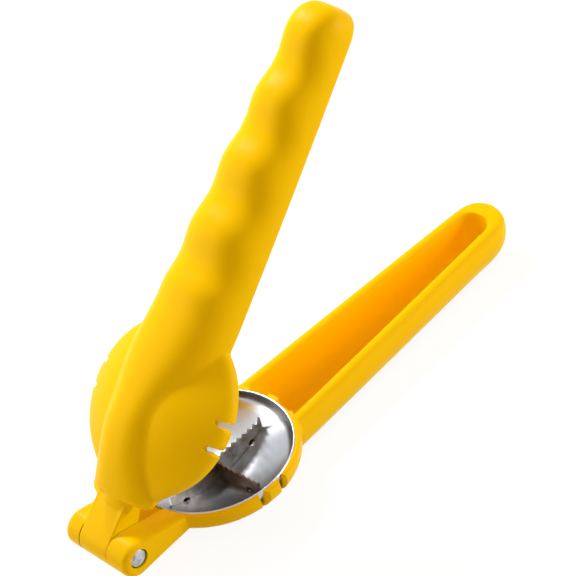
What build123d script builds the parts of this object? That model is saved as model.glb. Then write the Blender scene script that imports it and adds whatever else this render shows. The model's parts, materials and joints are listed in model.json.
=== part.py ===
from build123d import *

"""Chestnut cutter: two plastic jaw halves on a steel hinge pin, with a steel dish and crossed blades.

Each half is drawn with its open side down, on the hinge axis: x runs from the axis to the
handle's end, y lies along the axis and z points out of the half's back. The lower half, the
dish and the blades are then turned over, and the upper half is swung open by open_angle.
"""
import os
from math import acos, atan2, cos, degrees, floor, pi, radians, sin, sqrt

# Hinge: the pin, its ears on the lower half and the knuckle on the upper half.
pin_radius = 3.0
pin_end_inset = 0.5           # each pin end sits this far below the ear's outer face
pin_end_round = 0.4
pin_recess_radius = 3.6
pin_recess_depth = 1.2
running_clearance = 0.05      # radial, between pin and knuckle
barrel_radius = 5.2
hinge_width = 28.4
knuckle_width = 12.6
knuckle_offset = 1.1          # the knuckle sits a little towards +y
knuckle_side_gap = 0.15       # on each side, between knuckle and ear
ear_edge_round = 1.2
ear_root = 22.0               # the ears end here, inside the rim wall
ear_root_height = 3.4
ear_slope_end = 15.8          # the ears' slope meets the rim plane here
knuckle_floor_gap = 0.3       # between the knuckle and the floor that joins the ears
open_angle = 38.4

# Jaws: two round rims with shallow domes.
cup_distance = 44.8           # hinge axis to the centre of the dish
rim_gap = 0.3                 # each rim stops this far from the plane through the hinge axis
rim_radius = 28.2
lower_wall_height = 4.6
upper_wall_height = 3.8
rim_shoulder_round = 2.6
rim_lip_round = 0.9
lower_depth = 15.6            # hinge axis to the flat that the cutter rests on
upper_dome_height = 13.6
upper_shell = 2.4

# Steel dish.
dish_rim_radius = 26.0        # inside
dish_depth = 12.0             # inside
dish_sheet = 0.7
dish_floor_curve = 45.0       # radius of curvature of the floor
dish_corner_curve = 6.0       # curve between floor and side
dish_rim_round = 0.25

# Blades.
blade_sheet = 0.8
blade_reach = 20.2            # from the centre to the blade's end above the dish
blade_shoulder = 1.0          # each end runs on by this much under the dish
blade_root = 1.0              # depth of the blade below the dish
blade_foot_gap = 0.02
blade_side_gap = 0.1
tooth_top = 4.0               # tooth tips below the dish's rim
tooth_pitch = 2.4
tooth_depth = 1.2
tooth_tip_share = 0.3         # the tip's place in its pitch
blade_spike = 1.0             # the outermost point stands this much higher
slit_hole_radius = 1.3
slit_hole_distance = 14.6     # from the centre

# Spring tabs in both rims.
slot_width = 1.9
slot_pitch = 8.4
slot_inner_y = 24.2

# Handles.
handle_end = 176.6            # hinge axis to the tip
half_width_at_hinge = 17.9    # if the straight taper ran on to the hinge axis
half_width_at_end = 9.0
lower_side_bulge = 0.4        # the lower handle's sides bow out by this much half way
upper_side_bulge = 0.3
handle_wall = 4.4
handle_floor = 2.4
handle_lip_round = 1.4
end_round = 10.0              # length of the rounded end
end_plan_power = 2.9
end_depth_power = 4.0
inner_end_round = 6.5
section_power = 3.0
lower_section_depth = 16.1
upper_section_power = 2.5
upper_depth_at_jaw = 16.9
upper_depth_at_end = 13.4

# Finger grips on the upper handle.
grip_pitch = 21.8
grip_crest = 144.0            # hinge axis to one of the crests
grip_height = 1.5             # above and below the mean
grip_start = 66.0
grip_blend = 12.0

# Spine from each handle over its jaw to the hinge.
spine_start = 8.0
spine_start_half_width = 6.0
spine_start_height = 5.4
spine_waist = 40.0
spine_waist_half_width = 11.5
spine_waist_height = 16.2
spine_full = 64.0             # from here on the spine is the handle itself

# Channel end at the cup.
channel_wall_drop = 2.6
channel_nub_width = 4.0

# Drawing.
arch_points = 13
station_step = 5.4
end_stations = 6
end_sweep = 80.0              # degrees of the end's quarter turn that get a section
overrun = 1.0

corner_x = dish_rim_radius - dish_corner_curve
floor_z = dish_depth - dish_floor_curve
corner_z = floor_z + sqrt((dish_floor_curve - dish_corner_curve) ** 2 - corner_x**2)
corner_angle = degrees(atan2(corner_z - floor_z, corner_x))
arc_share = 1 - sqrt(0.5)


def ease(x, start, stop):
    """0 before start, 1 after stop, and a smooth step between them."""
    share = min(max((x - start) / (stop - start), 0), 1)
    return share * share * (3 - 2 * share)


def climb(x, start):
    """0 at start and 1 at the spine's waist, steep at first and level at the waist."""
    return sin(pi / 2 * min(max((x - start) / (spine_waist - start), 0), 1))


def side(x, bulge):
    """Half width of a handle at x."""
    share = x / handle_end
    return half_width_at_hinge + (half_width_at_end - half_width_at_hinge) * share + 4 * bulge * share * (1 - share)


def end_share(x, end, length, power):
    """1 along a handle, falling to 0 at its end as a squarish round."""
    share = max((x - end + length) / length, 0)
    return (1 - share**power) ** (1 / power)


def grip_wave(x):
    """Height of the finger grips above the mean line at x."""
    wave = cos(2 * pi * (x - grip_crest) / grip_pitch)
    return grip_height * wave * ease(x, grip_start, grip_start + grip_blend)


def stations(start, end, length):
    """Places along x for a handle's sections: even steps, then closer round the end."""
    straight = end - length - start
    count = floor(straight / station_step)
    along = [start + straight * i / count for i in range(count)]
    turn = [radians(end_sweep) * i / end_stations for i in range(end_stations + 1)]
    return along + [end - length + length * sin(angle) for angle in turn]


def arch(x, half_width, top, power, lip, foot, middle=0):
    """One section across a handle at x: an arch with rounded lips, closed along its foot.

    A negative lip turns inwards, for an outside. A positive one flares, for a hollow."""
    round_off = abs(lip)
    spring = foot + round_off
    angles = [pi * i / (arch_points - 1) for i in range(arch_points)]
    points = []
    for angle in angles:
        across = abs(cos(angle)) ** (2 / power) * (1 if cos(angle) > 0 else -1)
        points.append((middle + half_width * across, spring + (top - spring) * abs(sin(angle)) ** (2 / power)))
    edges = [Spline(*points, tangents=[(0, 1), (0, -1)])]
    ends = []
    for sign in (-1, 1):
        spring_y = middle + sign * half_width
        turn = (spring_y + sign * lip * arc_share, foot + round_off * arc_share)
        ends.append((spring_y + sign * lip, foot))
        edges.append(ThreePointArc((spring_y, spring), turn, ends[-1]))
    edges.append(Line(*ends))
    plane = Plane(origin=(x, 0, 0), x_dir=(0, 1, 0), z_dir=(1, 0, 0))
    return plane * make_face(edges)


def ring_profile(radius, wall_height, top, lip):
    """Half section of a round jaw: rim wall, shoulder and shallow dome, closed on the axis."""
    wall_top = rim_gap + wall_height
    rise = top - wall_top
    dome = (radius**2 + rise**2) / (2 * rise)
    start = degrees(atan2(dome - rise, radius))
    foot = [Line((0, rim_gap), (radius, rim_gap)), Line((radius, rim_gap), (radius, wall_top))]
    cap = CenterArc((0, top - dome), dome, start, 90 - start)
    face = make_face(foot + [cap, Line((0, top), (0, rim_gap))])
    face = fillet(face.vertices().group_by(Axis.X)[-1].sort_by(Axis.Y)[-1], rim_shoulder_round)
    if lip == 0:
        return face
    return fillet(face.vertices().group_by(Axis.Y)[0].sort_by(Axis.X)[-1], lip)


def spin(face):
    """Turn a half section round the axis of the cup."""
    upright = Plane(origin=(cup_distance, 0, 0), x_dir=(1, 0, 0), z_dir=(0, -1, 0)) * face
    return revolve(upright, Axis((cup_distance, 0, 0), (0, 0, 1)))


def bowl(offset):
    """The dish's inside, or a shape that stands off from it by offset, as a solid up to its rim."""
    radius = dish_rim_radius + offset
    side_line = Line((radius, 0), (radius, corner_z))
    corner = CenterArc((corner_x, corner_z), dish_corner_curve + offset, 0, corner_angle)
    base = CenterArc((0, floor_z), dish_floor_curve + offset, corner_angle, 90 - corner_angle)
    axis_line = Line((0, dish_depth + offset), (0, 0))
    return spin(make_face([side_line, corner, base, axis_line, Line((0, 0), (radius, 0))]))


def box(x_range, y_range, z_range):
    """A box between two values on each axis."""
    size = [high - low for low, high in (x_range, y_range, z_range)]
    centre = [(low + high) / 2 for low, high in (x_range, y_range, z_range)]
    return Pos(*centre) * Box(*size)


def rod(radius, y_range):
    """A round bar along the hinge axis."""
    length = y_range[1] - y_range[0]
    return Pos(0, (y_range[0] + y_range[1]) / 2, 0) * (Rot(90, 0, 0) * Cylinder(radius, length))


def plate(y_range, low, high):
    """Barrel and the plate that tapers from it to the jaw, between two heights at its root."""
    corners = [(ear_slope_end, low), (ear_root, low), (ear_root, high)]
    touch = []
    for (x, height), turn in ((corners[-1], 1), (corners[0], -1)):
        angle = atan2(height, x) + turn * acos(barrel_radius / sqrt(x**2 + height**2))
        touch.append((barrel_radius * cos(angle), barrel_radius * sin(angle)))
    outline = Circle(barrel_radius) + make_face(Polyline(*corners, *touch, close=True))
    plane = Plane(origin=(0, y_range[1], 0), x_dir=(1, 0, 0), z_dir=(0, -1, 0))
    return extrude(plane * outline, y_range[1] - y_range[0])


def slots():
    """The four cuts that set a spring tab free on each side of a rim."""
    cuts = []
    for x_side in (-1, 1):
        x = cup_distance + x_side * slot_pitch / 2
        for y_side in (-1, 1):
            reach = sorted((y_side * (slot_inner_y + slot_width / 2), y_side * (rim_radius + overrun)))
            x_range = (x - slot_width / 2, x + slot_width / 2)
            cuts.append(box(x_range, reach, (rim_gap - overrun, lower_depth)))
            end = Cylinder(slot_width / 2, lower_depth + overrun, align=(Align.CENTER, Align.CENTER, Align.MIN))
            cuts.append(Pos(x, y_side * (slot_inner_y + slot_width / 2), rim_gap - overrun) * end)
    return cuts


def back(x, bulge, full_depth):
    """Half width and height of a half's back at x: the spine first, then the handle."""
    if x < spine_waist:
        width = spine_start_half_width
        width += (spine_waist_half_width - width) * sqrt(climb(x, ear_slope_end))
        return width, spine_start_height + (spine_waist_height - spine_start_height) * climb(x, spine_start)
    share = ease(x, spine_waist, spine_full)
    width = spine_waist_half_width + (side(x, bulge) - spine_waist_half_width) * share
    return width, spine_waist_height + (full_depth(x) - spine_waist_height) * share


def outside(bulge, full_depth, power, shift):
    """A half's back and handle as one smooth solid; shift is its sideways place at the hinge."""
    faces = []
    for x in stations(spine_start, handle_end, end_round):
        width, top = back(x, bulge, full_depth)
        width *= end_share(x, handle_end, end_round, end_plan_power)
        top *= end_share(x, handle_end, end_round, end_depth_power)
        middle = shift * (1 - ease(x, ear_slope_end, ear_root))
        faces.append(arch(x, width, top, power, -handle_lip_round, rim_gap, middle))
    return loft(faces)


def hollow(bulge, full_depth):
    """The space inside a handle, from the jaw's rim wall to the tip."""
    end = handle_end - handle_wall
    faces = []
    for x in stations(cup_distance, end, inner_end_round):
        width = (side(x, bulge) - handle_wall) * end_share(x, end, inner_end_round, end_plan_power)
        top = (full_depth(x) - handle_floor) * end_share(x, end, inner_end_round, end_depth_power)
        faces.append(arch(x, width, top, section_power, handle_lip_round, rim_gap))
    return loft(faces) - disc(rim_radius, -lower_depth, 2 * lower_depth)


def disc(radius, low, high):
    """A round block about the cup's axis."""
    block = Cylinder(radius, high - low, align=(Align.CENTER, Align.CENTER, Align.MIN))
    return Pos(cup_distance, 0, low) * block


def knuckle_range(gap):
    """The knuckle's stretch of the hinge axis, with a gap added at each side."""
    half = knuckle_width / 2 + gap
    return knuckle_offset - half, knuckle_offset + half


def knuckle_space():
    """The space between the ears that the knuckle and its neck turn in, open above the rim plane."""
    radius = barrel_radius + knuckle_floor_gap
    angle = acos(radius / ear_slope_end)
    touch = (radius * cos(angle), radius * sin(angle))
    above = Polyline((0, 0), touch, (ear_slope_end, 0), (ear_slope_end, -radius), (0, -radius), close=True)
    low, high = knuckle_range(knuckle_side_gap)
    plane = Plane(origin=(0, high, 0), x_dir=(1, 0, 0), z_dir=(0, -1, 0))
    return extrude(plane * (Circle(radius) + make_face(above)), high - low)


def lower_depth_at(x):
    return lower_section_depth


def upper_depth_at(x):
    """Height of the upper handle's back: a straight fall to its end, with the finger grips on it."""
    share = ease(x, spine_waist, handle_end)
    return upper_depth_at_jaw + (upper_depth_at_end - upper_depth_at_jaw) * share + grip_wave(x)


def upper_hollow_depth_at(x):
    return upper_depth_at(x) - grip_wave(x) - grip_height


def lower_half():
    """Handle channel, cup and two hinge ears in one moulding, drawn back up."""
    half = hinge_width / 2
    ears = plate((-half, half), rim_gap, rim_gap + ear_root_height)
    sides = [ears.faces().sort_by(Axis.Y)[i] for i in (0, -1)]
    ears = fillet([edge for face in sides for edge in face.edges().sort_by(Axis.X)[:-1]], ear_edge_round)
    body = outside(lower_side_bulge, lower_depth_at, section_power, 0)
    body += spin(ring_profile(rim_radius, lower_wall_height, lower_depth, rim_lip_round))
    body += ears
    seat = dish_rim_radius + dish_sheet
    body -= hollow(lower_side_bulge, lower_depth_at)
    notch_side = side(cup_distance + seat, lower_side_bulge) - handle_wall - rim_lip_round
    notch_top = rim_gap + channel_wall_drop
    notch = disc(rim_radius + overrun, -overrun, notch_top) - disc(seat, -overrun, lower_depth)
    notch &= box((cup_distance, handle_end), (-notch_side, notch_side), (-overrun, notch_top))
    notch -= box((cup_distance, handle_end), (-channel_nub_width / 2, channel_nub_width / 2), (-overrun, notch_top))
    body -= notch
    body -= bowl(dish_sheet)
    body -= slots()
    body -= blade_grooves()
    body -= knuckle_space()
    body -= box((0, handle_end), (-handle_end, handle_end), (lower_depth, handle_end))
    body -= rod(pin_radius, (-half, half))
    for sign in (-1, 1):
        mouth = sorted((sign * (half - pin_recess_depth), sign * (half + overrun)))
        body -= rod(pin_recess_radius, mouth)
    return body


def upper_half():
    """Finger-grip handle, domed jaw and hinge knuckle in one moulding, drawn back up."""
    body = outside(upper_side_bulge, upper_depth_at, upper_section_power, knuckle_offset)
    body += spin(ring_profile(rim_radius, upper_wall_height, upper_dome_height, rim_lip_round))
    body -= box((-handle_end, spine_start + overrun), (-handle_end, handle_end), (-overrun, handle_end))
    body += plate(knuckle_range(0), rim_gap, spine_start_height)
    body -= hollow(upper_side_bulge, upper_hollow_depth_at)
    inner = rim_radius - upper_shell
    body -= spin(ring_profile(inner, upper_wall_height, upper_dome_height - upper_shell, 0))
    body -= disc(inner, -overrun, rim_gap + overrun)
    body -= slots()
    body -= rod(pin_radius + running_clearance, knuckle_range(overrun))
    return body


def hinge_pin():
    """Plain round pin with rounded ends."""
    half = hinge_width / 2 - pin_end_inset
    pin = rod(pin_radius, (-half, half))
    return fillet(pin.edges().filter_by(GeomType.CIRCLE), pin_end_round)


def across(face, turn):
    """Give a blade's outline in the plane through the cup's axis its thickness, turned about that axis."""
    upright = Plane(origin=(0, 0, 0), x_dir=(1, 0, 0), z_dir=(0, -1, 0)) * face
    return Pos(cup_distance, 0, 0) * (Rot(0, 0, turn) * upright)


def under_dish(reach, depth):
    """The strip that follows the dish's underside out to reach on both sides."""
    top = dish_floor_curve + dish_sheet
    strip = Pos(0, floor_z) * (Circle(top + depth) - Circle(top))
    return strip & (Pos(0, dish_depth) * Rectangle(2 * reach, 2 * dish_depth))


def blade_grooves():
    """The crossed grooves in the cup's floor that the feet of the blades stand in."""
    length = 2 * (blade_reach + blade_shoulder + blade_side_gap)
    width = blade_sheet + 2 * blade_side_gap
    cross = Box(length, width, 2 * lower_depth) + Box(width, length, 2 * lower_depth)
    return bowl(dish_sheet + blade_root + blade_foot_gap) & (Pos(cup_distance, 0, 0) * cross)


def tooth_line():
    """Tips and roots of the saw teeth from the centre out to one end, with the end's spike."""
    count = floor(blade_reach / tooth_pitch)
    line = []
    for i in range(count):
        line.append((i * tooth_pitch, tooth_top + tooth_depth))
        line.append(((i + tooth_tip_share) * tooth_pitch, tooth_top))
    line.append((count * tooth_pitch, tooth_top + tooth_depth))
    line.append((blade_reach, tooth_top - blade_spike))
    return line


def blade(turn, notch_range):
    """One saw-toothed strip through the dish, with a notch where the other strip crosses it."""
    out = tooth_line()
    low = dish_depth + dish_sheet + blade_root
    mirrored = [(-x, z) for x, z in out[:0:-1]]
    top = make_face(Polyline(*mirrored, *out, (blade_reach, low), (-blade_reach, low), close=True))
    face = top & (Pos(0, floor_z) * Circle(dish_floor_curve + dish_sheet + blade_root))
    face += under_dish(blade_reach + blade_shoulder, blade_root)
    hole_z = floor_z + sqrt(dish_floor_curve**2 - slit_hole_distance**2)
    for sign in (-1, 1):
        face -= Pos(sign * slit_hole_distance, hole_z) * Circle(slit_hole_radius)
    notch_low, notch_high = notch_range
    notch = Rectangle(blade_sheet + 2 * blade_side_gap, notch_high - notch_low)
    face -= Pos(0, (notch_low + notch_high) / 2) * notch
    return extrude(across(face, turn), blade_sheet / 2, both=True)


def dish():
    """Pressed dish with two crossed slits and a round hole half way along each arm."""
    shape = bowl(dish_sheet) - bowl(0)
    rim = shape.edges().group_by(Axis.Z)[0]
    shape = fillet(rim, dish_rim_round)
    for turn in (0, 90):
        slit = Rectangle(2 * (blade_reach + blade_side_gap), blade_sheet + 2 * blade_side_gap)
        cut = Rot(0, 0, turn) * extrude(slit, 2 * dish_depth)
        shape -= Pos(cup_distance, 0, overrun) * cut
        for sign in (-1, 1):
            hole = Rot(0, 0, turn) * (Pos(sign * slit_hole_distance, 0, 0) * Cylinder(slit_hole_radius, 4 * dish_depth))
            shape -= Pos(cup_distance, 0, 0) * hole
    return shape


def placed(shape, angle=0):
    """Swing a drawn shape about the hinge axis and set it at its place over the floor."""
    tip = handle_end - end_round + end_round * sin(radians(end_sweep))
    return Pos(-(tip - barrel_radius) / 2, 0, lower_depth) * (Rot(0, angle, 0) * shape)


def build():
    """All pieces at rest: the lower half lies on its flat and the upper half stands open."""
    half_lap = (tooth_top + dish_depth + dish_sheet + blade_root) / 2
    low = dish_depth + dish_sheet + blade_root
    return {
        "lower_jaw_and_handle": placed(mirror(lower_half(), about=Plane.XY)),
        "upper_jaw_and_finger_handle": placed(upper_half(), -open_angle),
        "hinge_pin": placed(hinge_pin()),
        "steel_dish": placed(mirror(dish(), about=Plane.XY)),
        "lengthwise_blade": placed(mirror(blade(0, (0, half_lap)), about=Plane.XY)),
        "crosswise_blade": placed(mirror(blade(90, (half_lap, low + overrun)), about=Plane.XY)),
    }


if __name__ == "__main__":
    os.makedirs("parts", exist_ok=True)
    for name, shape in build().items():
        export_step(shape, f"parts/{name}.step")
        box_size = shape.bounding_box().size
        print(name, len(shape.solids()), shape.is_valid, round(shape.volume), box_size)
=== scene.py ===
# %% [markdown]
# # A chestnut cutter
# A chestnut cutter is a kitchen plier. Two yellow plastic halves turn on a steel pin, and
# squeezing the handles presses a chestnut onto crossed blades in a steel dish.
# The CAD model is loaded first and is never changed. It says where everything is and how large.
# What Blender adds is the look: the soft blends of a moulding, the shine of pressed steel,
# and the light. Lengths are kept in millimetres while a piece is drawn and become metres
# when it is put in its place.

# %% Load the frame
import json
from math import acos, atan2, cos, hypot, pi, radians, sin, sqrt

import bmesh
import bpy
import numpy as np
from mathutils import Matrix, Vector


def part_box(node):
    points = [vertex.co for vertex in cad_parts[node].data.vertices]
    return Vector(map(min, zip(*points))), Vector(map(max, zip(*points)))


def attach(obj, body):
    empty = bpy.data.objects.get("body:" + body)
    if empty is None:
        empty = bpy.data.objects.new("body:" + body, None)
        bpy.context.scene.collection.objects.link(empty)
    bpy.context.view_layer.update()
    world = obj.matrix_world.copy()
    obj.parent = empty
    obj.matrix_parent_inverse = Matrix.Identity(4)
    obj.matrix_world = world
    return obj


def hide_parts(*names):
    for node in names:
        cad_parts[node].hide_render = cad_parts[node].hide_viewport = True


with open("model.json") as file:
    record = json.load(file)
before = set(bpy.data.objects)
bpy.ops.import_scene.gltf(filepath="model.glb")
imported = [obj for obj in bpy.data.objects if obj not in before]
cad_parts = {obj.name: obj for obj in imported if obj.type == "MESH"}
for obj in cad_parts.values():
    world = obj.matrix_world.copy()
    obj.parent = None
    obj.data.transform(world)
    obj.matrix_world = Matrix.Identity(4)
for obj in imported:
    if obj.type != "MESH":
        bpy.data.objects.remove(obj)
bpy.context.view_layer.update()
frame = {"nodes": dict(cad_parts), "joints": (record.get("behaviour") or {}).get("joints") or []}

mm = 0.001

# %% [markdown]
# ## Sizes from the frame
# Everything that the CAD already knows is read from it: the hinge's place, the dish's centre
# and the handle's tip. It could be typed again, but then the two models might drift apart.
# Only the shapes that Blender draws again need sizes of their own, and each cell names those
# that it is the first to use.

# %% Sizes read from the CAD
joint = frame["joints"][0]
hinge = np.array(joint["pos_m"]) / mm
open_angle = radians(joint["range_deg"][1])
dish_low, dish_high = [np.array(corner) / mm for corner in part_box("steel_dish")]
pin_low, pin_high = [np.array(corner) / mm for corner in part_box("hinge_pin")]
lower_high = np.array(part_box("lower_jaw_and_handle")[1]) / mm

cup_distance = (dish_low[0] + dish_high[0]) / 2 - hinge[0]
dish_outside = (dish_high[0] - dish_low[0]) / 2
rim_radius = lower_high[1]
tip = lower_high[0] - hinge[0]
lower_depth = hinge[2]
pin_radius = (pin_high[0] - pin_low[0]) / 2
pin_half = pin_high[1]
print("hinge to cup", round(cup_distance, 2), "to tip", round(tip, 2), "rim radius", round(rim_radius, 2))

# %% [markdown]
# ## How a moulding is drawn
# Each half is a shell with a spine, a dome and a handle that melt into each other. It could be
# sculpted, but then its sizes would be lost. It could be built from boxes with subdivision, but
# a round jaw in a long handle makes a poor grid. Here it is cut into sections across its
# length, and each section is a polar curve: for every direction from the section's foot, how
# far is the skin? The handle gives one answer and the dome another, and a soft maximum of the
# two is the moulded fillet between them.
# A half is always drawn back up: x runs along the handle from the hinge axis, y along the pin,
# and z out of the back, with the rim close to z = 0.

# %% Soft steps and blends
def ease(x, start, stop):
    """0 before start, 1 after stop, and the smooth step 3s^2 - 2s^3 between them."""
    share = np.clip((x - start) / (stop - start), 0, 1)
    return share * share * (3 - 2 * share)


def soft_max(a, b, reach):
    """The larger of a and b, plus (reach - |a - b|)^2 / (4 reach) where they are closer than reach."""
    near = np.maximum(reach - np.abs(a - b), 0)
    return np.maximum(a, b) + near * near / (4 * reach)


def soft_min(a, b, reach):
    """The smaller of a and b, rounded in the same way."""
    return -soft_max(-a, -b, reach)


print("where two heights of 10 meet with reach 2, the blend is", soft_max(10.0, 10.0, 2.0))

# %% [markdown]
# ## The handles
# Both handles taper from the jaw to a rounded tip, and the upper one has waves on its back for
# the fingers. They could be traced as free curves. A straight taper, a parabola and a cosine say
# the same with the few sizes that a mould maker would give: two widths, a bulge and a pitch.

# %% Handle in plan, its end and its grips
half_width_at_hinge = 17.9
half_width_at_end = 9.0
grip_pitch = 21.8
grip_crest = 144.0
grip_height = 1.2
grip_start = 72.0
grip_blend = 16.0


def side(x, bulge):
    """Half width of a handle: a straight taper plus a parabola that bows it out by bulge."""
    share = x / tip
    taper = half_width_at_hinge + (half_width_at_end - half_width_at_hinge) * share
    return taper + 4 * bulge * share * (1 - share)


def end_share(x, end, length, power):
    """1 along a handle, falling to 0 at its end: the power-th root of 1 - s^power."""
    share = np.clip((x - end + length) / length, 0, 1)
    return (1 - share**power) ** (1 / power)


def grip_wave(x):
    """Finger grips: a cosine along the handle that fades in behind the jaw."""
    wave = np.cos(2 * pi * (x - grip_crest) / grip_pitch)
    return grip_height * wave * ease(x, grip_start, grip_start + grip_blend)


print("half width behind the cup", round(side(cup_distance + rim_radius, 0.0), 2))

# %% [markdown]
# ## The jaws in plan
# A jaw is round like the dish. Towards the hinge it narrows to a neck, whose front is cut square
# on both sides of the knuckle, a little further back on the near side. The round and the neck
# could be two solids joined by a fillet. One half width for every x, with a soft maximum where
# they meet, is simpler, and the dome can then follow it.

# %% Half width of a jaw
knuckle_low, knuckle_high = -5.2, 7.4
knuckle_half_width = (knuckle_high - knuckle_low) / 2
neck_front_far = 11.4
neck_front_near = 13.8
neck_round = 3.0
neck_half_width = 12.8
neck_blend = 5.0


def jaw_half_width(x, front):
    """Half width in plan: 0 before the neck's front, then the neck's rounded corner, then the round rim."""
    ring = np.sqrt(np.maximum(rim_radius**2 - (x - cup_distance) ** 2, 0))
    share = np.clip((x - front) / neck_round, 0, 1)
    neck = knuckle_half_width + (neck_half_width - knuckle_half_width) * np.sqrt(share * (2 - share))
    return np.where(x < front, 0, np.where(x < cup_distance, soft_max(ring, neck, neck_blend), ring))


print("neck half width at x = 16:", round(float(jaw_half_width(16.0, neck_front_far)), 2))

# %% [markdown]
# ## What differs between the halves
# The halves are the same kind of shell, so one recipe draws both. The back starts low at the
# hinge as a narrow spine, climbs to its waist over the jaw and widens into the handle. Only a
# handful of sizes differ: the upper half has the grips, a lower jaw wall and a square tip.

# %% The two halves
spine_start = 8.0
spine_start_height = 4.2
spine_waist = 40.0
spine_waist_half_width = 11.5
spine_waist_height = 16.0
spine_full = 64.0
ear_slope_end = 20.5
spine_lean = 2.0
lean_start, lean_end = 46.0, 76.0
knuckle_cover = 0.1
tip_square = 0.5
tip_square_length = 18.0


def climb(x, start):
    """A quarter sine: 0 at start, steep at first, level and 1 at the spine's waist."""
    return np.sin(pi / 2 * np.clip((x - start) / (spine_waist - start), 0, 1))


class Half:
    """One half's own sizes, and the curves along x that follow from them."""

    def __init__(self, bulge, lean, depths, powers, grips, wall_height, dome_height,
                 neck_width, valley, tip_round, tip_power):
        self.bulge, self.lean, self.depths, self.powers, self.grips = bulge, lean, depths, powers, grips
        self.wall_height, self.dome_height, self.neck_width = wall_height, dome_height, neck_width
        self.valley, self.tip_round, self.tip_power = valley, tip_round, tip_power

    def middle(self, x):
        """The section's middle: it leans one way over the upper jaw and a little back behind it."""
        spine = spine_lean if self.grips else 0.0
        over_jaw = spine * ease(x, neck_front_far, spine_waist)
        return over_jaw - (spine + self.lean) * ease(x, lean_start, lean_end)

    def power(self, x):
        """How square the section is: a straight change from the jaw to the tip, and squarer at the tip."""
        at_jaw, at_end = self.powers
        along = np.clip((x - spine_waist) / (tip - spine_waist), 0, 1)
        return at_jaw + (at_end - at_jaw) * along + tip_square * ease(x, tip - tip_square_length, tip)

    def depth(self, x, grips=True):
        """Height of the back: an eased fall from jaw to end. Without grips it runs along their valleys."""
        at_jaw, at_end = self.depths
        height = at_jaw + (at_end - at_jaw) * ease(x, spine_waist, tip)
        if self.grips:
            height = height + (grip_wave(x) if grips else -grip_height)
        return height

    def back(self, x):
        """Half width and height of the back: a spine that climbs to its waist, then the handle."""
        start = self.neck_width
        foot_width = knuckle_half_width - knuckle_cover
        chord = np.maximum(jaw_half_width(x, neck_front_near), foot_width)
        spine_width = start + (spine_waist_half_width - start) * np.sqrt(climb(x, ear_slope_end))
        spine_width = np.where(x < neck_front_far, foot_width, np.minimum(spine_width, chord))
        spine_top = spine_start_height + (spine_waist_height - spine_start_height) * climb(x, spine_start)
        share = ease(x, spine_waist, spine_full)
        width = spine_width + (side(x, self.bulge) - spine_width) * share
        return width, spine_top + (self.depth(x) - spine_top) * share


lower = Half(
    bulge=0.3, lean=0.3, depths=(16.1, 16.1), powers=(3.5, 2.3), grips=False,
    wall_height=5.0, dome_height=lower_depth, neck_width=6.0, valley=2.0, tip_round=14.0, tip_power=2.2)
upper = Half(
    bulge=1.2, lean=0.4, depths=(15.8, 13.9), powers=(2.5, 2.6), grips=True,
    wall_height=3.8, dome_height=13.6, neck_width=11.9, valley=1.2, tip_round=10.0, tip_power=4.0)
print("height of the upper back over its grips", np.round(upper.depth(np.linspace(90, 150, 7)), 1).tolist())

# %% [markdown]
# ## From a grid to a mesh
# A grid of points is a mesh with no further thought: neighbours in the grid are neighbours on
# the skin. One helper closes the columns into a tube and puts a cap on each end, and another
# merges the points that fall together, such as those of a pole.

# %% Grid to mesh
def link(name, data):
    """An object of that mesh, camera or lamp in the scene."""
    piece = bpy.data.objects.new(name, data)
    bpy.context.scene.collection.objects.link(piece)
    return piece


def tidy(piece, merge=1e-4):
    """Merges doubles, drops slivers and turns every face outwards."""
    shape = bmesh.new()
    shape.from_mesh(piece.data)
    bmesh.ops.remove_doubles(shape, verts=shape.verts, dist=merge)
    bmesh.ops.dissolve_degenerate(shape, edges=shape.edges, dist=merge)
    bmesh.ops.recalc_face_normals(shape, faces=shape.faces)
    shape.to_mesh(piece.data)
    shape.free()
    return piece


def solid(name, grid):
    """A closed mesh from grid[row, column, xyz]: columns wrap round, and both end rows are capped."""
    count, turn = grid.shape[:2]
    index = np.arange(count * turn).reshape(count, turn)
    along = np.roll(index, -1, axis=1)
    quads = np.stack([index[:-1], along[:-1], along[1:], index[1:]], axis=-1).reshape(-1, 4)
    faces = quads.tolist() + [index[0, ::-1].tolist(), index[-1].tolist()]
    mesh = bpy.data.meshes.new(name)
    mesh.from_pydata(grid.reshape(-1, 3).tolist(), [], faces)
    return tidy(link(name, mesh))


def edge_uses(mesh):
    """How many faces use each edge: two, everywhere, on a closed mesh."""
    uses = np.empty(len(mesh.loops), int)
    mesh.loops.foreach_get("edge_index", uses)
    return np.bincount(uses, minlength=len(mesh.edges))


print("meshes before the first moulding:", len(bpy.data.meshes))

# %% [markdown]
# ## Cores
# Hollows could be drawn into the grid, but slots, bores and a channel would each tear it up.
# A mould makes them with cores, so here a core is a closed form that is taken away from the
# piece. The boolean is worked out at once and its result kept, so the piece that is left holds
# no live modifier.

# %% Join and cut
boolean_solver = "EXACT"


def combine(piece, tool, operation):
    """Joins or cuts piece with tool, which is used up."""
    change = piece.modifiers.new("core", "BOOLEAN")
    change.operation, change.object, change.solver = operation, tool, boolean_solver
    result = bpy.data.meshes.new_from_object(piece.evaluated_get(bpy.context.evaluated_depsgraph_get()))
    piece.modifiers.clear()
    piece.data = result
    bpy.data.objects.remove(tool)
    return piece


def join(piece, tool):
    """The piece with the tool's space added to it."""
    return combine(piece, tool, "UNION")


def cut(piece, tool):
    """The piece without the tool's space."""
    return combine(piece, tool, "DIFFERENCE")


print("joins and cuts are worked out by the solver", boolean_solver)

# %% [markdown]
# ## Into place
# Turning or moving the object would do, but the library wants every piece at the origin with
# its place in its mesh. So the points themselves are carried over. The lower half is turned
# onto its back, and the upper one is swung open about the hinge by the angle the photo shows.

# %% Place and settle
crease_angle = 32
fine_merge = 1e-7


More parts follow.
